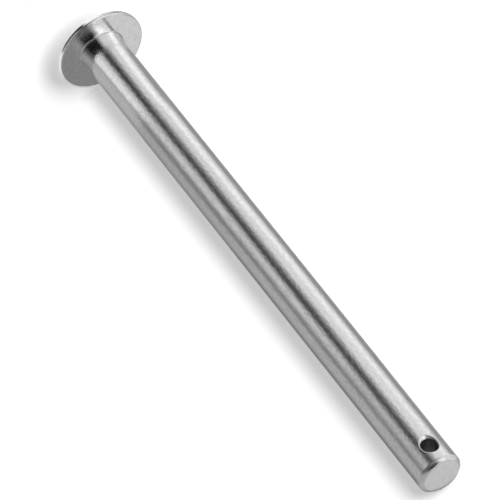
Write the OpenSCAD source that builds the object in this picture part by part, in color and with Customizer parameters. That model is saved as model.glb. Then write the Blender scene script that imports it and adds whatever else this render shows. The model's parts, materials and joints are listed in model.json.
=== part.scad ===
// Headed hinge pin: a thin upset head, a slightly flared neck, a plain shank with a bevelled tip,
// and a cross hole near the tip for a split pin.
// The pin stands on its head. The origin is the centre of the head's outer face and +Z runs to the tip.
// All lengths are in millimetres.

/* [Shank] */
// Diameter of the plain bearing length
shank_d = 8; // [6:0.1:12]
// Length from the head's underside to the tip
grip_length = 113; // [60:1:180]

/* [Head] */
// How far the head stands out past the shank, all round
head_overhang = 4.1; // [2.5:0.1:8]
// Thickness of the head
head_t = 0.9; // [0.6:0.1:3]
// Rounding of the rim at the outer face
rim_outer_round = 0.15; // [0.1:0.05:0.3]
// Rounding of the rim at the underside
rim_inner_round = 0.2; // [0.05:0.05:0.25]

/* [Neck] */
// Extra radius that the neck has gained where it meets the head
neck_flare = 0.2; // [0.1:0.05:0.6]
// Height above the head's underside at which the flare has run out into the shank
neck_h = 3; // [2:0.5:12]
// Fillet in the corner between the neck and the head's underside
root_fillet = 0.25; // [0.1:0.05:0.8]

/* [Tip] */
// Width of the 45 degree bevel round the end face
tip_bevel = 0.65; // [0.2:0.05:1.2]

/* [Split pin hole] */
// Diameter of the split pin
split_pin_d = 2.6; // [1.5:0.1:3.6]
// Play of the split pin in its hole, on the diameter
split_pin_play = 0.3; // [0.1:0.05:0.6]
// Plain land left between the hole and the tip's bevel
tip_land = 2.05; // [1:0.05:12]
// Width of the countersunk edge at the hole's two mouths
mouth_bevel = 0.5; // [0.35:0.05:0.7]

/* [Hidden] */
$fn = 128;

// How far a cutting shape reaches past the surface that it cuts
overcut = 1;

shank_r = shank_d / 2;
head_r = shank_r + head_overhang;
pin_h = head_t + grip_length;

hole_r = (split_pin_d + split_pin_play) / 2;
hole_z = pin_h - tip_bevel - tip_land - hole_r;

// The flare is one arc, tangent to the shank at the top of the neck.
flare_r = (neck_h * neck_h + neck_flare * neck_flare) / (2 * neck_flare);
flare_x = shank_r + flare_r;
flare_y = neck_h;

// The root fillet rolls on the head's underside and touches the flare from inside its arc.
root_x = flare_x - sqrt(pow(flare_r - root_fillet, 2) - pow(neck_h - root_fillet, 2));
root_touch_y = flare_y - (flare_y - root_fillet) * flare_r / (flare_r - root_fillet);

// What a rounding takes off a square outer corner whose arc is centred on the origin.
module corner_waste(round_r) {
    difference() {
        square(round_r + overcut);
        circle(round_r);
    }
}

// Half section of the head, from its outer face up to its underside.
module head_section() {
    difference() {
        square([head_r, head_t]);
        translate([head_r - rim_outer_round, rim_outer_round])
            mirror([0, 1])
                corner_waste(rim_outer_round);
        translate([head_r - rim_inner_round, head_t - rim_inner_round])
            corner_waste(rim_inner_round);
    }
}

// Half section of the neck, from the head's underside to the start of the plain shank.
module neck_section() {
    difference() {
        square([root_x, neck_h]);
        intersection() {
            translate([flare_x, flare_y])
                circle(flare_r);
            translate([0, root_touch_y])
                square([root_x + overcut, neck_h + overcut]);
        }
        translate([root_x, root_fillet])
            circle(root_fillet);
    }
}

// Half section of the plain shank and its bevelled tip, from the neck up.
module shank_section() {
    plain_h = grip_length - neck_h;
    polygon([
        [0, 0],
        [shank_r, 0],
        [shank_r, plain_h - tip_bevel],
        [shank_r - tip_bevel, plain_h],
        [0, plain_h]
    ]);
}

// The blank as it comes from the heading die, before drilling.
module headed_blank() {
    rotate_extrude() {
        head_section();
        translate([0, head_t])
            neck_section();
        translate([0, head_t + neck_h])
            shank_section();
    }
}

// What the drill and the countersink take out, along Y through the shank's axis.
module split_pin_hole() {
    mouth_reach = shank_r + overcut;
    mouth_r = hole_r + mouth_bevel + overcut;
    wall_reach = shank_r - mouth_bevel;
    translate([0, 0, hole_z])
        rotate([90, 0, 0])
            rotate_extrude()
                polygon([
                    [0, -mouth_reach],
                    [mouth_r, -mouth_reach],
                    [hole_r, -wall_reach],
                    [hole_r, wall_reach],
                    [mouth_r, mouth_reach],
                    [0, mouth_reach]
                ]);
}

// The finished pin: headed from one length of bar, bevelled and cross drilled.
module hinge_pin() {
    color("silver")
        difference() {
            headed_blank();
            split_pin_hole();
        }
}

hinge_pin();
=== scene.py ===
"""Looks of a headed hinge pin: zinc-plated steel, standing on its head on a pale floor.

The pin is turned, bevelled and drilled again as one mesh from the frame's own sizes, and each of its
surfaces gets the finish of the way it was made, except the bore, whose dark colour is painted shade.
A small studio gives the plating what it mirrors: soft cards round the pin.
"""
import json
import logging
import math
from collections.abc import Callable, Iterator
from dataclasses import dataclass
from enum import Enum
from typing import Any

import bpy
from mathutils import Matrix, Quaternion, Vector


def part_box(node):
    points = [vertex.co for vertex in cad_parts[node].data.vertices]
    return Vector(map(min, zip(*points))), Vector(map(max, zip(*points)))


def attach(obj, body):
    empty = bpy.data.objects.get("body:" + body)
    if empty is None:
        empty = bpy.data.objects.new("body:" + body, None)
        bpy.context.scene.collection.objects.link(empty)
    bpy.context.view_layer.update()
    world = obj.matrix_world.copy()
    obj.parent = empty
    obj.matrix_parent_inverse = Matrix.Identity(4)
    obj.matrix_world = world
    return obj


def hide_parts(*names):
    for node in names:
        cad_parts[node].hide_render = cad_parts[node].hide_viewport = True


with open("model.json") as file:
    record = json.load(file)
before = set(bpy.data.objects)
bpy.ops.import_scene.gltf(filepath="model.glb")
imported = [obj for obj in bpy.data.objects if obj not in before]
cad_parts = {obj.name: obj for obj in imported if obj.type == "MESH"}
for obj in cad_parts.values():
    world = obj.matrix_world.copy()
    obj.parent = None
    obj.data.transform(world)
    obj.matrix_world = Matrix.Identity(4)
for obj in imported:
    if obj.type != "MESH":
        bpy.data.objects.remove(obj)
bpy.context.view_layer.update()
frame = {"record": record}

LOG = logging.getLogger("hinge_pin")
MM = 0.001
UP = Vector((0, 0, 1))
# Points of a turned mesh that are closer together than this become one
MERGE_GAP = 0.001 * MM
# Span that holds nearly all values of a noise texture, and a narrower one that gives stains clear edges
NOISE_SPAN = (0.3, 0.7)
STAIN_SPAN = (0.35, 0.65)


def linear(hex_code: str) -> tuple[float, float, float, float]:
    """Turn an sRGB hex colour into the linear colour that a shader takes.

    Args:
        hex_code: Six hex digits, such as "C8C8C8".

    Returns:
        Linear red, green, blue and an alpha of 1.
    """
    parts = [int(hex_code[i:i + 2], 16) / 255 for i in (0, 2, 4)]
    red, green, blue = [p / 12.92 if p <= 0.04045 else ((p + 0.055) / 1.055) ** 2.4 for p in parts]
    return red, green, blue, 1.0


def add_node(tree: bpy.types.NodeTree, kind: str, inputs: dict[str | int, Any] | None = None,
             **settings: Any) -> bpy.types.Node:
    """Add one node to a tree, set it up and feed its inputs.

    Args:
        tree: Node tree that takes the node.
        kind: Type name of the node.
        inputs: Input name or number, with a plain value or with the socket that feeds it.
        settings: Properties of the node itself.

    Returns:
        The new node.
    """
    node = tree.nodes.new(kind)
    for name, value in settings.items():
        setattr(node, name, value)
    for key, value in (inputs or {}).items():
        if isinstance(value, bpy.types.NodeSocket):
            tree.links.new(value, node.inputs[key])
        else:
            node.inputs[key].default_value = value
    return node


def new_material(name: str) -> tuple[bpy.types.Material, bpy.types.NodeTree]:
    """Make an empty node material.

    Args:
        name: Name of the material.

    Returns:
        The material and its bare node tree.
    """
    material = bpy.data.materials.new(name)
    material.use_nodes = True
    material.node_tree.nodes.clear()
    return material, material.node_tree


def seen_itself(tree: bpy.types.NodeTree) -> bpy.types.NodeSocket:
    """Tell the rays that show a surface from those that only carry its light.

    Args:
        tree: Node tree of a material or of the world.

    Returns:
        A socket with 1 for rays from the camera, off a mirror or through glass, and 0 for all others.
    """
    rays = add_node(tree, "ShaderNodeLightPath").outputs
    mirrored = add_node(tree, "ShaderNodeMath", {0: rays["Is Camera Ray"], 1: rays["Is Glossy Ray"]},
                        operation="ADD")
    seen = add_node(tree, "ShaderNodeMath", {0: mirrored.outputs[0], 1: rays["Is Transmission Ray"]},
                    operation="ADD", use_clamp=True)
    return seen.outputs[0]


def show_front_only(tree: bpy.types.NodeTree, front: bpy.types.NodeSocket) -> None:
    """Finish a material that is clear from behind.

    Args:
        tree: Node tree of the material.
        front: Shader of its front.
    """
    clear = add_node(tree, "ShaderNodeBsdfTransparent")
    behind = add_node(tree, "ShaderNodeNewGeometry").outputs["Backfacing"]
    sided = add_node(tree, "ShaderNodeMixShader", {0: behind, 1: front, 2: clear.outputs[0]})
    add_node(tree, "ShaderNodeOutputMaterial", {"Surface": sided.outputs[0]})


def select_only(obj: bpy.types.Object) -> None:
    """Make an object the active one and the only one selected."""
    bpy.ops.object.select_all(action="DESELECT")
    bpy.context.view_layer.objects.active = obj
    obj.select_set(True)


def arc(center: Vector, radius: float, start: float, end: float, steps: int) -> Iterator[Vector]:
    """Walk along an arc in the plane of the pin's section.

    Args:
        center: Centre of the arc.
        radius: Radius of the arc.
        start: Angle of its first point, in radians.
        end: Angle of its last point, in radians.
        steps: Number of chords.

    Yields:
        The points of the arc, both ends included.
    """
    for i in range(steps + 1):
        angle = start + (end - start) * i / steps
        yield center + Vector((math.cos(angle), 0.0, math.sin(angle))) * radius


def turn_profile(name: str, profile: list[Vector], center: Vector, axis: Vector,
                 steps: int) -> bpy.types.Object:
    """Turn a section round an axis, as on a lathe.

    Args:
        name: Name of the new object.
        profile: Points of the section, from axis to axis.
        center: A point on the axis.
        axis: Direction of the axis.
        steps: Number of facets round the axis.

    Returns:
        A closed mesh object, at the origin, with its faces outwards.
    """
    bpy.ops.object.select_all(action="DESELECT")
    bpy.ops.mesh.primitive_plane_add(size=MM)
    obj = bpy.context.object
    obj.name = obj.data.name = name
    bpy.ops.object.mode_set(mode="EDIT")
    bpy.ops.mesh.select_mode(type="VERT")
    bpy.ops.mesh.select_all(action="SELECT")
    bpy.ops.mesh.merge(type="CENTER")
    bpy.ops.transform.translate(value=profile[0])
    for here, there in zip(profile, profile[1:]):
        bpy.ops.mesh.extrude_vertices_move(TRANSFORM_OT_translate={"value": there - here})
    bpy.ops.mesh.select_all(action="SELECT")
    bpy.ops.mesh.spin(steps=steps, angle=math.tau, center=center, axis=axis)
    bpy.ops.mesh.select_all(action="SELECT")
    bpy.ops.mesh.remove_doubles(threshold=MERGE_GAP)
    bpy.ops.mesh.normals_make_consistent(inside=False)
    bpy.ops.object.mode_set(mode="OBJECT")
    return obj


def bevel_where(obj: bpy.types.Object, test: Callable[[Vector], bool], offset: float,
                segments: int) -> None:
    """Bevel the edges whose two ends both lie at a place.

    Args:
        obj: Mesh object to work on.
        test: Says whether a point lies at that place.
        offset: Setback of the bevel from the edge.
        segments: Number of facets across the bevel.
    """
    bpy.ops.object.mode_set(mode="EDIT")
    bpy.ops.mesh.select_mode(type="EDGE")
    bpy.ops.mesh.select_all(action="DESELECT")
    bpy.ops.object.mode_set(mode="OBJECT")
    points = obj.data.vertices
    for edge in obj.data.edges:
        edge.select = all(test(points[i].co) for i in edge.vertices)
    bpy.ops.object.mode_set(mode="EDIT")
    bpy.ops.mesh.bevel(offset=offset, segments=segments, affect="EDGES")
    bpy.ops.object.mode_set(mode="OBJECT")


@dataclass(frozen=True)
class ZincPlate:
    """Bright zinc plating on steel: a pale grey metal whose gloss follows the surface under it.

    The plating is only micrometres thick, so it shows the bar under it: fine blotches from pickling, which
    make the edges of a reflection wander, lines along the way the metal was worked, and patches that are
    more or less glossy.

    Attributes:
        name: Name of the material.
        color: Colour of the clean metal.
        dull_color: Colour in the blotches.
        roughness: Middle roughness of the patches.
        rough_swing: How far the patches go to either side of it.
        blotch_mm: Size of a blotch along X, Y and Z.
        blotch_rise_mm: Height of the blotches.
        line_mm: Size of a line along X, Y and Z.
        line_rise_mm: Height of the lines.
        edge_round_mm: Rounding that wear and plating seem to give to the edges.
        patch_mm: Size of a patch of gloss.
    """

    name: str
    color: str
    dull_color: str
    roughness: float
    rough_swing: float
    blotch_mm: tuple[float, float, float]
    blotch_rise_mm: float
    line_mm: tuple[float, float, float]
    line_rise_mm: float
    edge_round_mm: float = 0.05
    patch_mm: float = 2.5

    def material(self) -> bpy.types.Material:
        """Make the node material of this finish.

        Returns:
            A metal with a blotched, lined bump and a gloss that varies in patches.
        """
        material, tree = new_material(self.name)
        place = add_node(tree, "ShaderNodeTexCoord").outputs["Object"]
        spread = add_node(tree, "ShaderNodeMapping", {
            "Vector": place, "Scale": [1 / (size * MM) for size in self.blotch_mm]})
        blotches = add_node(tree, "ShaderNodeTexNoise", {
            "Vector": spread.outputs[0], "Scale": 1.0, "Detail": 1.0, "Roughness": 0.4})
        stretch = add_node(tree, "ShaderNodeMapping", {
            "Vector": place, "Scale": [1 / (size * MM) for size in self.line_mm]})
        lines = add_node(tree, "ShaderNodeTexNoise", {
            "Vector": stretch.outputs[0], "Scale": 1.0, "Detail": 1.0})
        patches = add_node(tree, "ShaderNodeTexNoise", {
            "Vector": place, "Scale": 1 / (self.patch_mm * MM), "Detail": 3.0, "Roughness": 0.6})
        gloss = add_node(tree, "ShaderNodeMapRange", {
            "Value": patches.outputs["Fac"], "From Min": NOISE_SPAN[0], "From Max": NOISE_SPAN[1],
            "To Min": self.roughness - self.rough_swing, "To Max": self.roughness + self.rough_swing})
        stain = add_node(tree, "ShaderNodeMapRange", {
            "Value": blotches.outputs["Fac"], "From Min": STAIN_SPAN[0], "From Max": STAIN_SPAN[1]})
        tone = add_node(tree, "ShaderNodeMix", {
            "Factor": stain.outputs["Result"], "A": linear(self.color), "B": linear(self.dull_color)},
            data_type="RGBA")
        worn_edge = add_node(tree, "ShaderNodeBevel", {"Radius": self.edge_round_mm * MM}, samples=6)
        blotch_bump = add_node(tree, "ShaderNodeBump", {
            "Height": blotches.outputs["Fac"], "Strength": 1.0, "Distance": self.blotch_rise_mm * MM,
            "Normal": worn_edge.outputs[0]})
        line_bump = add_node(tree, "ShaderNodeBump", {
            "Height": lines.outputs["Fac"], "Strength": 1.0, "Distance": self.line_rise_mm * MM,
            "Normal": blotch_bump.outputs[0]})
        metal = add_node(tree, "ShaderNodeBsdfPrincipled", {
            "Metallic": 1.0, "Base Color": tone.outputs["Result"], "Roughness": gloss.outputs["Result"],
            "Normal": line_bump.outputs[0]})
        add_node(tree, "ShaderNodeOutputMaterial", {"Surface": metal.outputs[0]})
        return material


class Surface(Enum):
    """The pin's surfaces, each with the finish that its making left on it, except the bore's dark colour,
    which is painted shade.

    Blotches, lines and tool marks are drawn coarser than on real metal, where they are too fine to show.
    """

    # Cold-drawn bar under plating: satin, with blotches and faint lines along the pin
    SHANK = ZincPlate(
        "zinc_plate_on_drawn_steel", color="E7E7E7", dull_color="DEDEDE", roughness=0.16, rough_swing=0.08,
        blotch_mm=(0.4, 0.4, 0.8), blotch_rise_mm=0.024, line_mm=(0.3, 0.3, 9.0), line_rise_mm=0.004,
        edge_round_mm=0.2, patch_mm=0.9)
    # Upset between smooth dies under plating: nearly a mirror, with a faint wave
    HEAD = ZincPlate(
        "zinc_plate_on_headed_steel", color="E8E8E8", dull_color="E0E0E0", roughness=0.125,
        rough_swing=0.02, blotch_mm=(0.9, 0.9, 0.9), blotch_rise_mm=0.01, line_mm=(1.5, 1.5, 1.5),
        line_rise_mm=0.004)
    # Turned bevel under plating: duller than the bar, because the tool left fine rings round the tip
    BEVEL = ZincPlate(
        "zinc_plate_on_turned_steel", color="D3D3D3", dull_color="CBCBCB", roughness=0.22, rough_swing=0.03,
        blotch_mm=(0.5, 0.5, 0.5), blotch_rise_mm=0.012, line_mm=(2.0, 2.0, 0.12), line_rise_mm=0.006)
    # Cropped and faced end under plating: flat and evenly grey
    END = ZincPlate(
        "zinc_plate_on_faced_steel", color="E4E4E4", dull_color="DEDEDE", roughness=0.26, rough_swing=0.02,
        blotch_mm=(0.7, 0.7, 0.7), blotch_rise_mm=0.008, line_mm=(1.2, 1.2, 1.2), line_rise_mm=0.003,
        edge_round_mm=1.3)
    # Countersunk mouths under plating: smooth from the cutter, and a little darker than the bar
    MOUTH = ZincPlate(
        "zinc_plate_on_countersunk_steel", color="DEDEDE", dull_color="D8D8D8", roughness=0.24,
        rough_swing=0.02, blotch_mm=(0.5, 0.5, 0.5), blotch_rise_mm=0.006, line_mm=(1.0, 1.0, 1.0),
        line_rise_mm=0.002, edge_round_mm=0.3)
    # Drilled wall: dull, rough steel, whose dark colour is painted shade inside the hole
    BORE = ZincPlate(
        "drilled_steel_painted_shade", color="A0A0A0", dull_color="8A8A8A", roughness=0.5, rough_swing=0.05,
        blotch_mm=(0.3, 0.3, 0.3), blotch_rise_mm=0.012, line_mm=(1.0, 0.15, 1.0), line_rise_mm=0.004,
        edge_round_mm=0.25)


@dataclass
class HingePin:
    """The pin: a thin upset head, a flared neck, a plain shank with a bevelled tip and a cross hole."""

    head_r: float
    height: float
    shank_r: float
    hole_r: float
    hole_z: float
    hole_wall: float
    neck_top: float
    head_t: float = 0.9 * MM
    rim_outer_round: float = 0.15 * MM
    rim_outer_facets: int = 6
    rim_inner_round: float = 0.2 * MM
    rim_inner_facets: int = 4
    neck_flare: float = 0.2 * MM
    root_fillet: float = 0.25 * MM
    neck_facets: int = 8
    tip_bevel: float = 0.65 * MM
    tip_edge_round: float = 0.1 * MM
    tip_edge_facets: int = 3
    face_edge_round: float = 0.2 * MM
    face_edge_facets: int = 4
    facets: int = 256
    hole_facets: int = 96
    close_rings: float = 0.25 * MM
    sparse_rings: float = 4 * MM
    smooth_angle: float = math.radians(30)
    # A face beside the hole is the shank's if it looks outwards by at least this cosine
    shank_outward: float = 0.9

    @classmethod
    def from_frame(cls) -> "HingePin":
        """Take the pin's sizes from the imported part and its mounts.

        Returns:
            A pin of the frame's sizes.
        """
        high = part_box("hinge_pin")[1]
        mounts = {mount["name"]: mount for mount in frame["record"]["mounts"]}
        shank = mounts["shank"]["dims"]
        hole = mounts["split_pin_hole"]["dims"]
        return cls(
            head_r=high.x,
            height=high.z,
            shank_r=shank["r_mm"] * MM,
            hole_r=hole["r_mm"] * MM,
            hole_z=mounts["split_pin_hole"]["pos_m"][2],
            hole_wall=hole["length_mm"] * MM,
            neck_top=high.z - cls.tip_bevel - shank["length_mm"] * MM)

    @property
    def hole_zone(self) -> float:
        """Distance from the hole's axis that takes in both of its mouths."""
        return 2 * self.hole_r

    def neck_section(self) -> list[Vector]:
        """Draw the neck: a small fillet at the head, then one long arc that runs out into the shank.

        Returns:
            Section points from the head's underside to the plain shank.
        """
        rise = self.neck_top - self.head_t
        flare_r = (rise ** 2 + self.neck_flare ** 2) / (2 * self.neck_flare)
        flare_center = Vector((self.shank_r + flare_r, 0.0, self.neck_top))
        drop = rise - self.root_fillet
        reach = math.sqrt((flare_r - self.root_fillet) ** 2 - drop ** 2)
        root_center = flare_center - Vector((reach, 0.0, drop))
        touch = math.pi + math.atan2(drop, reach)
        fillet = list(arc(root_center, self.root_fillet, 1.5 * math.pi, touch, self.neck_facets))
        flare = list(arc(flare_center, flare_r, touch, math.pi, self.neck_facets))
        return fillet + flare[1:]

    def shank_rings(self) -> list[float]:
        """Place the shank's rings of points, close together beside the hole and sparse elsewhere.

        Returns:
            Heights above the floor, from the neck to the bevel.
        """
        heights = []
        z = self.neck_top
        while z < self.height - self.tip_bevel - self.close_rings:
            away = abs(z - self.hole_z) - self.hole_zone
            step = self.close_rings
            if away >= 0:
                step = min(self.sparse_rings, max(self.close_rings, away + self.close_rings))
            z += step
            heights.append(z)
        heights[-1] = self.height - self.tip_bevel
        return heights

    def section(self) -> list[Vector]:
        """Draw the pin's section with square rims.

        Returns:
            Section points from the middle of the head's face to the middle of the tip.
        """
        head = [(0.0, 0.0), (self.head_r, 0.0), (self.head_r, self.head_t)]
        tip = [(self.shank_r - self.tip_bevel, self.height), (0.0, self.height)]
        rings = [(self.shank_r, z) for z in self.shank_rings()]
        points = [Vector((x, 0.0, z)) for x, z in head]
        points += self.neck_section()
        points += [Vector((x, 0.0, z)) for x, z in rings + tip]
        return points

    def at_ring(self, radius: float, height: float) -> Callable[[Vector], bool]:
        """Make a test for points on one ring round the axis.

        Args:
            radius: Radius of the ring.
            height: Height of the ring above the floor.

        Returns:
            A function that says whether a point is on that ring.
        """
        slack = 0.005 * MM
        return lambda p: abs(math.hypot(p.x, p.y) - radius) < slack and abs(p.z - height) < slack

    def build(self) -> bpy.types.Object:
        """Turn the blank, round its rims and drill it.

        Returns:
            The finished pin's object.
        """
        pin = turn_profile("hinge_pin_plated", self.section(), Vector(), UP, self.facets)
        bevel_foot = self.height - self.tip_bevel
        face_r = self.shank_r - self.tip_bevel
        rims = (
            (self.head_r, 0.0, self.rim_outer_round, self.rim_outer_facets),
            (self.head_r, self.head_t, self.rim_inner_round, self.rim_inner_facets),
            (self.shank_r, bevel_foot, self.tip_edge_round, self.tip_edge_facets),
            (face_r, self.height, self.face_edge_round, self.face_edge_facets))
        for radius, height, rounding, facets in rims:
            bevel_where(pin, self.at_ring(radius, height), rounding, facets)
        self.drill(pin)
        select_only(pin)
        bpy.ops.object.shade_smooth_by_angle(angle=self.smooth_angle)
        normals = pin.modifiers.new("even_normals", "WEIGHTED_NORMAL")
        normals.keep_sharp = True
        bpy.ops.object.modifier_apply(modifier=normals.name)
        return pin

    def drill(self, pin: bpy.types.Object) -> None:
        """Drill the cross hole and countersink both of its mouths.

        Args:
            pin: The turned blank.
        """
        overcut = 1 * MM
        reach = self.shank_r + overcut
        wall = self.hole_wall / 2
        mouth_r = self.hole_r + reach - wall
        outline = [(0.0, -reach), (mouth_r, -reach), (self.hole_r, -wall),
                   (self.hole_r, wall), (mouth_r, reach), (0.0, reach)]
        profile = [Vector((x, y, self.hole_z)) for x, y in outline]
        center = Vector((0.0, 0.0, self.hole_z))
        cutter = turn_profile("cross_drill", profile, center, Vector((0, 1, 0)), self.hole_facets)
        cut = pin.modifiers.new("cross_hole", "BOOLEAN")
        cut.operation = "DIFFERENCE"
        cut.solver = "EXACT"
        cut.object = cutter
        select_only(pin)
        bpy.ops.object.modifier_apply(modifier=cut.name)
        bpy.data.objects.remove(cutter)

    def surface_at(self, center: Vector, normal: Vector) -> Surface:
        """Say which surface a face belongs to.

        Args:
            center: Middle of the face.
            normal: Direction that the face looks.

        Returns:
            The surface, by place and direction.
        """
        slack = 0.01 * MM
        off_hole = math.hypot(center.x, center.z - self.hole_z)
        outward = Vector((center.x, center.y, 0.0)).normalized().dot(normal)
        if off_hole < self.hole_r + slack and abs(center.y) < self.hole_wall / 2 + slack:
            return Surface.BORE
        if off_hole < self.hole_zone and outward < self.shank_outward:
            return Surface.MOUTH
        if center.z > self.height - slack:
            return Surface.END
        if center.z > self.height - self.tip_bevel:
            return Surface.BEVEL
        if center.z < self.neck_top:
            return Surface.HEAD
        return Surface.SHANK

    def dress(self, pin: bpy.types.Object) -> None:
        """Give each face the finish of its surface.

        Args:
            pin: The finished pin's object.
        """
        kinds = list(Surface)
        for surface in kinds:
            pin.data.materials.append(surface.value.material())
        for face in pin.data.polygons:
            face.material_index = kinds.index(self.surface_at(face.center, face.normal))


@dataclass
class PhotoCamera:
    """The camera that sees the pin as it was photographed: high in front, rolled, with a long lens."""

    azimuth: float = math.radians(25.3)
    distance: float = 763.1 * MM
    height: float = 604.8 * MM
    aim_height: float = 54.4 * MM
    aim_right: float = 1.49 * MM
    roll: float = math.radians(141.45)
    lens_mm: float = 400.7
    sensor_mm: float = 36.0
    clip_start: float = 10 * MM
    clip_end: float = 10.0

    def toward(self) -> Vector:
        """Level direction from the pin to the camera."""
        return Vector((math.sin(self.azimuth), -math.cos(self.azimuth), 0.0))

    def right(self) -> Vector:
        """Level direction to the right of a camera that is not rolled."""
        return Vector((math.cos(self.azimuth), math.sin(self.azimuth), 0.0))

    def build(self) -> bpy.types.Object:
        """Make the scene's camera.

        Returns:
            The camera's object.
        """
        place = self.toward() * self.distance + UP * self.height
        aim = self.right() * self.aim_right + UP * self.aim_height
        look = (aim - place).to_track_quat("-Z", "Y") @ Quaternion((0, 0, 1), self.roll)
        bpy.ops.object.camera_add(location=place, rotation=look.to_euler())
        camera = bpy.context.object
        camera.data.lens = self.lens_mm
        camera.data.sensor_width = self.sensor_mm
        camera.data.clip_start = self.clip_start
        camera.data.clip_end = self.clip_end
        bpy.context.scene.camera = camera
        return camera


@dataclass(frozen=True)
class Card:
    """A stretch of reflector: where it starts and ends round the pin, and how bright it is.

    Azimuths are in degrees, clockwise from the camera as seen from above, and a level of 1 is white.
    """

    start: float
    end: float
    level: float


@dataclass(frozen=True)
class Reflector:
    """A surface that only the plating sees: cards side by side round the pin.

    The cards blend over the gaps between them.
    """

    name: str
    cards: tuple[Card, ...]

    def material(self, toward: Vector) -> bpy.types.Material:
        """Make the reflector's glow, which shows on its front only.

        Args:
            toward: Level direction from the pin to the camera, where azimuths start.

        Returns:
            A node material that glows by azimuth.
        """
        material, tree = new_material(self.name)
        place = add_node(tree, "ShaderNodeTexCoord").outputs["Object"]
        facing = (0.0, 0.0, math.atan2(toward.y, toward.x))
        turned = add_node(tree, "ShaderNodeMapping", {
            "Vector": place, "Rotation": facing, "Scale": (1, -1, 1)}, vector_type="TEXTURE")
        around = add_node(tree, "ShaderNodeTexGradient", {"Vector": turned.outputs[0]},
                          gradient_type="RADIAL")
        ramp = add_node(tree, "ShaderNodeValToRGB", {"Fac": around.outputs["Fac"]})
        brightest = max(card.level for card in self.cards)
        # The gradient has its middle at the camera, and runs from 0 to 1 in a full turn
        middle = 0.5
        stops = [(azimuth / 360 + middle, card.level / brightest)
                 for card in self.cards for azimuth in (card.start, card.end)]
        elements = ramp.color_ramp.elements
        while len(elements) < len(stops):
            elements.new(middle)
        for element, (position, level) in zip(elements, stops):
            element.position = position
            element.color = (level, level, level, 1.0)
        glow = add_node(tree, "ShaderNodeEmission", {"Color": ramp.outputs["Color"], "Strength": brightest})
        show_front_only(tree, glow.outputs[0])
        return material


def show_to_plating_only(obj: bpy.types.Object) -> None:
    """Hide a card from the camera, from the floor and from the lamps' shadows."""
    obj.visible_camera = obj.visible_diffuse = obj.visible_shadow = obj.visible_transmission = False


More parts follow.
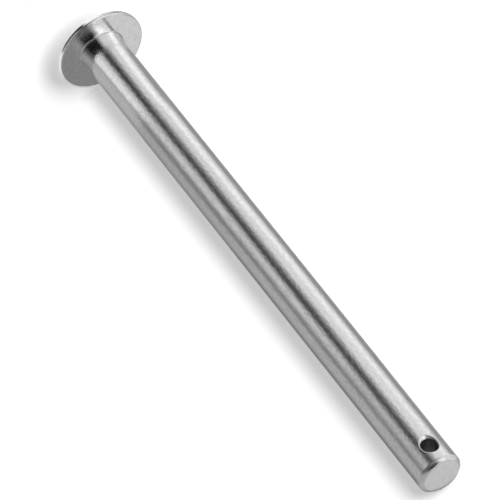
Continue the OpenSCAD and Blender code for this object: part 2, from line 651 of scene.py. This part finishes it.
@dataclass
class Studio:
    """Floor, backdrop, lamps and cards round the pin."""

    camera: PhotoCamera
    pin: HingePin

    # Paper, with the share of white that it shows by itself
    floor_size: float = 2.0
    floor_paper: str = "FCFCFC"
    floor_glow: float = 0.475
    backdrop_size: float = 0.4
    backdrop_gap: float = 0.2 * MM
    backdrop_paper: str = "D6D6D6"
    backdrop_glow: float = 0.465

    # Lamps, and the flag whose shadow is the halo beside the head
    key_side: float = 0.315
    key_rise: float = 0.62
    key_strength: float = 2.85
    key_spread: float = math.radians(18.5)
    fill_strength: float = 0.35
    fill_spread: float = math.radians(160)
    flag_height: float = 6 * MM
    flag_facets: int = 64
    halo_side: float = 3.0 * MM
    halo_front: float = 0.45 * MM
    halo_grow: float = 0.35 * MM

    # Places and sizes of the cards
    card_facets: int = 128
    card_lift: float = 0.03 * MM
    collar_gap: float = 0.05 * MM
    canopy_height: float = 17 * MM
    canopy_inner: float = 9 * MM
    dome_reach: float = 150 * MM
    dome_foot: float = -20.0
    dome_rows: int = 64
    ceiling_height: float = 16 * MM
    ceiling_back: float = 19 * MM
    ceiling_depth: float = 22 * MM
    ceiling_width: float = 9.6 * MM

    # Rings on the floor, each with its outer radius: the rim mirrors the first, and the shank the others
    floor_rings: tuple[tuple[float, Reflector], ...] = (
        (9.1 * MM, Reflector("rim_collar_cards", (
            Card(-180, -100, 0.50), Card(-88, -50, 1.05), Card(-42, -40, 0.30), Card(-32, -14, 0.14),
            Card(-8, -1, 0.06), Card(6, 23, 1.15), Card(32, 38, 0.76), Card(48, 180, 0.50)))),
        (30 * MM, Reflector("near_floor_cards", (
            Card(-180, -175, 0.10), Card(-166, -158, 0.34), Card(-146, -125, 0.37), Card(-104, -70, 0.54),
            Card(-60, -56, 0.46), Card(-46, -32, 0.92), Card(-20, -18, 0.68), Card(-2, 9, 0.06),
            Card(21, 21, 0.31), Card(34, 46, 0.78), Card(59, 72, 1.14), Card(102, 130, 0.36),
            Card(144, 150, 0.43), Card(164, 180, 0.12)))),
        (75 * MM, Reflector("middle_floor_cards", (
            Card(-180, -175, 0.12), Card(-160, -142, 0.275), Card(-110, -83, 0.445), Card(-68, -58, 0.245),
            Card(-36, -29, 0.70), Card(-19, -17, 0.56), Card(-1, 9, 0.08), Card(21, 21, 0.26),
            Card(40, 55, 0.79), Card(68, 81, 1.10), Card(116, 132, 0.33), Card(144, 150, 0.41),
            Card(164, 180, 0.12)))),
        (135 * MM, Reflector("far_floor_cards", (
            Card(-180, -175, 0.08), Card(-160, -140, 0.225), Card(-110, -79, 0.47), Card(-64, -57, 0.25),
            Card(-36, -24, 0.65), Card(-20, -20, 0.58), Card(-2, 9, 0.08), Card(21, 21, 0.255),
            Card(40, 58, 0.845), Card(76, 86, 1.08), Card(119, 134, 0.32), Card(144, 152, 0.40),
            Card(164, 180, 0.12)))),
        (400 * MM, Reflector("outermost_floor_cards", (
            Card(-180, -175, 0.08), Card(-160, -140, 0.225), Card(-110, -76, 0.48), Card(-62, -57, 0.26),
            Card(-36, -24, 0.51), Card(-4, 7, 0.09), Card(19, 19, 0.31), Card(37, 62, 0.86),
            Card(77, 86, 1.04), Card(119, 134, 0.32), Card(144, 154, 0.42), Card(166, 180, 0.45)))))
    # Rings over the head, each with its outer radius: the head's flat face and the neck mirror them
    canopy_rings: tuple[tuple[float, Reflector], ...] = (
        (18.7 * MM, Reflector("inner_canopy_cards", (
            Card(-180, -120, 0.35), Card(-92, -76, 0.40), Card(-54, -54, 0.21), Card(-44, 11, 0.0),
            Card(29, 29, 0.60), Card(44, 56, 1.72), Card(84, 100, 1.25), Card(120, 160, 0.36),
            Card(175, 180, 0.40)))),
        (26 * MM, Reflector("middle_canopy_cards", (
            Card(-180, -120, 0.40), Card(-92, -76, 0.42), Card(-54, -46, 0.24), Card(-20, 0, 0.24),
            Card(29, 29, 0.52), Card(56, 70, 0.72), Card(84, 100, 0.80), Card(120, 160, 0.36),
            Card(175, 180, 0.40)))),
        (46 * MM, Reflector("outer_canopy_cards", (
            Card(-180, -130, 0.25), Card(-104, -80, 0.47), Card(-56, -50, 0.10), Card(-42, 8, 0.0),
            Card(30, 50, 1.00), Card(66, 66, 1.15), Card(78, 88, 1.62), Card(104, 150, 0.82),
            Card(165, 180, 0.35)))),
        (400 * MM, Reflector("rim_canopy_cards", (
            Card(-180, -100, 0.22), Card(-84, -76, 0.15), Card(-56, -20, 0.04), Card(-6, 4, 0.22),
            Card(16, 16, 0.55), Card(28, 36, 0.70), Card(56, 180, 0.22)))))
    # Bands round the tip, each with its upper elevation: the bevel, the end face and the mouth mirror them
    dome_bands: tuple[tuple[float, Reflector], ...] = (
        (15.0, Reflector("low_dome_cards", (
            Card(-180, -172, 0.24), Card(-162, -158, 0.38), Card(-146, -130, 0.56), Card(-104, -74, 0.46),
            Card(-60, -44, 0.12), Card(-36, -26, 0.20), Card(-14, 10, 0.10), Card(30, 40, 0.55),
            Card(60, 85, 0.80), Card(100, 114, 0.96), Card(140, 150, 0.58), Card(162, 174, 0.76),
            Card(180, 180, 0.32)))),
        (44.0, Reflector("middle_dome_cards", (
            Card(-180, -130, 0.70), Card(-110, -74, 0.56), Card(-60, -44, 0.16), Card(-30, -16, 0.19),
            Card(-6, 32, 0.28), Card(54, 85, 1.08), Card(100, 125, 1.00), Card(150, 180, 0.70)))),
        (51.5, Reflector("high_dome_cards", (
            Card(-180, -130, 0.70), Card(-110, -74, 0.56), Card(-60, -44, 0.16), Card(-30, -16, 0.19),
            Card(-6, 0, 0.32), Card(17, 30, 0.62), Card(44, 70, 1.75), Card(82, 88, 1.15),
            Card(100, 180, 0.80)))),
        (90.0, Reflector("top_dome_cards", (
            Card(-180, -120, 0.62), Card(-110, -60, 0.61), Card(-43, 30, 0.02), Card(52, 95, 0.97),
            Card(110, 180, 0.70)))))
    # Cards behind the neck: the two sides of the head's flat face mirror them
    left_ceiling: Reflector = Reflector("left_ceiling_card", (Card(-180, 180, 0.275),))
    right_ceiling: Reflector = Reflector("right_ceiling_card", (Card(-180, 180, 0.74),))

    def white_paper(self, name: str, color: str, glow_level: float) -> bpy.types.Material:
        """Make the pale paper of the floor or the backdrop.

        It is seen from its front only, so that neither hides the pin from behind or from below.

        Args:
            name: Name of the material.
            color: Colour of the paper.
            glow_level: Share of white that it shows by itself, also in the shadow.

        Returns:
            A material that takes shadows and is white where it is lit.
        """
        material, tree = new_material(name)
        level = add_node(tree, "ShaderNodeMath", {0: seen_itself(tree), 1: glow_level},
                         operation="MULTIPLY")
        glow = add_node(tree, "ShaderNodeEmission", {"Strength": level.outputs[0]})
        matt = add_node(tree, "ShaderNodeBsdfDiffuse", {"Color": linear(color)})
        lit = add_node(tree, "ShaderNodeAddShader", {0: glow.outputs[0], 1: matt.outputs[0]})
        show_front_only(tree, lit.outputs[0])
        return material

    def build_sheets(self) -> None:
        """Lay the floor and stand the backdrop close behind the pin."""
        bpy.ops.mesh.primitive_plane_add(size=self.floor_size)
        floor = bpy.context.object
        floor.name = "floor"
        paper = self.white_paper("white_floor_paper", self.floor_paper, self.floor_glow)
        floor.data.materials.append(paper)
        behind = self.camera.toward() * -(self.pin.head_r + self.backdrop_gap)
        lift = UP * (self.backdrop_size / 2)
        facing = self.camera.toward().to_track_quat("Z", "Y").to_euler()
        bpy.ops.mesh.primitive_plane_add(size=self.backdrop_size, location=behind + lift, rotation=facing)
        backdrop = bpy.context.object
        backdrop.name = "backdrop"
        backdrop.visible_glossy = False
        paper = self.white_paper("pale_backdrop_paper", self.backdrop_paper, self.backdrop_glow)
        backdrop.data.materials.append(paper)
        for sheet in (floor, backdrop):
            # Neither sheet lights the other, so that no crease shows in the shadow where they meet
            sheet.visible_diffuse = False

    def key_from(self) -> Vector:
        """Direction from the pin to the key lamp: in front, above and to the left of an unrolled camera."""
        return self.camera.toward() - self.camera.right() * self.key_side + UP * self.key_rise

    def hang_flag(self) -> None:
        """Hang a disc in the key lamp's way, whose shadow makes the soft halo beside the head."""
        place = self.camera.toward() * self.halo_front + self.camera.right() * self.halo_side
        place += self.key_from() * (self.flag_height / self.key_rise)
        radius = self.pin.head_r + self.halo_grow
        bpy.ops.mesh.primitive_circle_add(
            vertices=self.flag_facets, radius=radius, fill_type="NGON", location=place)
        flag = bpy.context.object
        flag.name = "halo_flag"
        flag.visible_camera = flag.visible_diffuse = flag.visible_glossy = flag.visible_transmission = False

    def lay_ring(self, reflector: Reflector, inner: float, outer: float, height: float,
                 facing: Vector) -> None:
        """Lay a flat ring of cards round the pin.

        Args:
            reflector: Cards of the ring.
            inner: Inner radius.
            outer: Outer radius.
            height: Height above the floor.
            facing: Up for a ring on the floor and down for a ring overhead.
        """
        bpy.ops.object.select_all(action="DESELECT")
        bpy.ops.mesh.primitive_circle_add(vertices=self.card_facets, radius=outer, fill_type="NOTHING")
        ring = bpy.context.object
        ring.name = reflector.name
        bpy.ops.object.mode_set(mode="EDIT")
        bpy.ops.mesh.select_all(action="SELECT")
        bpy.ops.mesh.extrude_edges_move()
        bpy.ops.transform.resize(value=(inner / outer, inner / outer, 1.0))
        bpy.ops.mesh.select_all(action="SELECT")
        bpy.ops.transform.translate(value=UP * height)
        bpy.ops.mesh.normals_make_consistent(inside=False)
        bpy.ops.object.mode_set(mode="OBJECT")
        self.hang(ring, reflector, facing)

    def hang_dome(self, reflector: Reflector, low: float, high: float) -> None:
        """Hang a band of a dome of cards round the tip.

        Args:
            reflector: Cards of the band.
            low: Elevation of its lower edge as seen from the tip, in degrees.
            high: Elevation of its upper edge, in degrees.
        """
        bpy.ops.object.select_all(action="DESELECT")
        bpy.ops.mesh.primitive_uv_sphere_add(
            segments=self.card_facets, ring_count=self.dome_rows, radius=self.dome_reach)
        dome = bpy.context.object
        dome.name = reflector.name
        bpy.ops.object.mode_set(mode="EDIT")
        for elevation, side in ((low, UP), (high, -UP)):
            bpy.ops.mesh.select_all(action="SELECT")
            cut = UP * (self.dome_reach * math.sin(math.radians(elevation)))
            bpy.ops.mesh.bisect(plane_co=cut, plane_no=side, clear_inner=True)
        bpy.ops.mesh.select_all(action="SELECT")
        bpy.ops.mesh.flip_normals()
        bpy.ops.transform.translate(value=UP * self.pin.height)
        bpy.ops.object.mode_set(mode="OBJECT")
        self.hang(dome, reflector, None)

    def hang_ceiling(self, reflector: Reflector, side: float) -> None:
        """Hang a card over the floor behind the pin, which only the head's flat face mirrors.

        Args:
            reflector: The card.
            side: 1 for the right of an unrolled camera and -1 for its left.
        """
        bpy.ops.object.select_all(action="DESELECT")
        bpy.ops.mesh.primitive_plane_add(size=1.0)
        ceiling = bpy.context.object
        ceiling.name = reflector.name
        bpy.ops.object.mode_set(mode="EDIT")
        bpy.ops.mesh.select_all(action="SELECT")
        bpy.ops.transform.resize(value=(self.ceiling_width, self.ceiling_depth, 1.0))
        bpy.ops.transform.rotate(value=-self.camera.azimuth, orient_axis="Z", center_override=(0, 0, 0))
        place = self.camera.right() * side * self.ceiling_width / 2
        place -= self.camera.toward() * self.ceiling_back
        bpy.ops.transform.translate(value=place + UP * self.ceiling_height)
        bpy.ops.object.mode_set(mode="OBJECT")
        self.hang(ceiling, reflector, -UP)

    def hang(self, obj: bpy.types.Object, reflector: Reflector, facing: Vector | None) -> None:
        """Turn a reflector's front the right way, light it and hide it from all but the plating.

        Args:
            obj: The reflector's object.
            reflector: Its cards.
            facing: Direction that its front looks, or None if it already does.
        """
        if facing is not None and obj.data.polygons[0].normal.dot(facing) < 0:
            obj.data.flip_normals()
        obj.data.materials.append(reflector.material(self.camera.toward()))
        show_to_plating_only(obj)

    def build_cards(self) -> None:
        """Set the cards that the plating mirrors."""
        inner = self.pin.head_r + self.collar_gap
        for outer, ring in self.floor_rings:
            self.lay_ring(ring, inner, outer, self.card_lift, UP)
            inner = outer
        inner = self.canopy_inner
        for outer, ring in self.canopy_rings:
            self.lay_ring(ring, inner, outer, self.canopy_height, -UP)
            inner = outer
        low = self.dome_foot
        for high, band in self.dome_bands:
            self.hang_dome(band, low, high)
            low = high
        # The camera's roll puts its right side at the left of the picture
        self.hang_ceiling(self.left_ceiling, 1)
        self.hang_ceiling(self.right_ceiling, -1)

    def build_lamps(self) -> None:
        """Hang a soft key lamp and a broad fill from the camera's side."""
        lamps = (("key", self.key_from(), self.key_strength, self.key_spread),
                 ("fill", self.camera.toward() + UP, self.fill_strength, self.fill_spread))
        for name, source, strength, spread in lamps:
            turn = source.to_track_quat("Z", "Y").to_euler()
            bpy.ops.object.light_add(type="SUN", location=source.normalized(), rotation=turn)
            lamp = bpy.context.object
            lamp.name = name
            lamp.data.energy = strength
            lamp.data.angle = spread
            lamp.visible_glossy = False

    def build_world(self) -> None:
        """Surround the stage with plain white, for what the camera and the plating see past the floor."""
        world = bpy.data.worlds.new("white_surround")
        world.use_nodes = True
        tree = world.node_tree
        tree.nodes.clear()
        white = add_node(tree, "ShaderNodeBackground", {"Strength": seen_itself(tree)})
        add_node(tree, "ShaderNodeOutputWorld", {"Surface": white.outputs[0]})
        bpy.context.scene.world = world

    def build(self) -> None:
        """Set up the whole studio."""
        self.build_sheets()
        self.build_cards()
        self.build_lamps()
        self.hang_flag()
        self.build_world()
        bpy.context.scene.view_settings.view_transform = "Standard"


def main() -> None:
    """Build the pin, the camera and the studio."""
    logging.basicConfig(level=logging.INFO, format="%(name)s: %(message)s")
    pin = HingePin.from_frame()
    body = pin.build()
    pin.dress(body)
    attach(body, "root")
    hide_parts("hinge_pin")
    LOG.info("%s has %d faces", body.name, len(body.data.polygons))
    camera = PhotoCamera()
    camera.build()
    LOG.info("camera set")
    Studio(camera, pin).build()
    LOG.info("studio set")


if __name__ == "__main__":
    main()
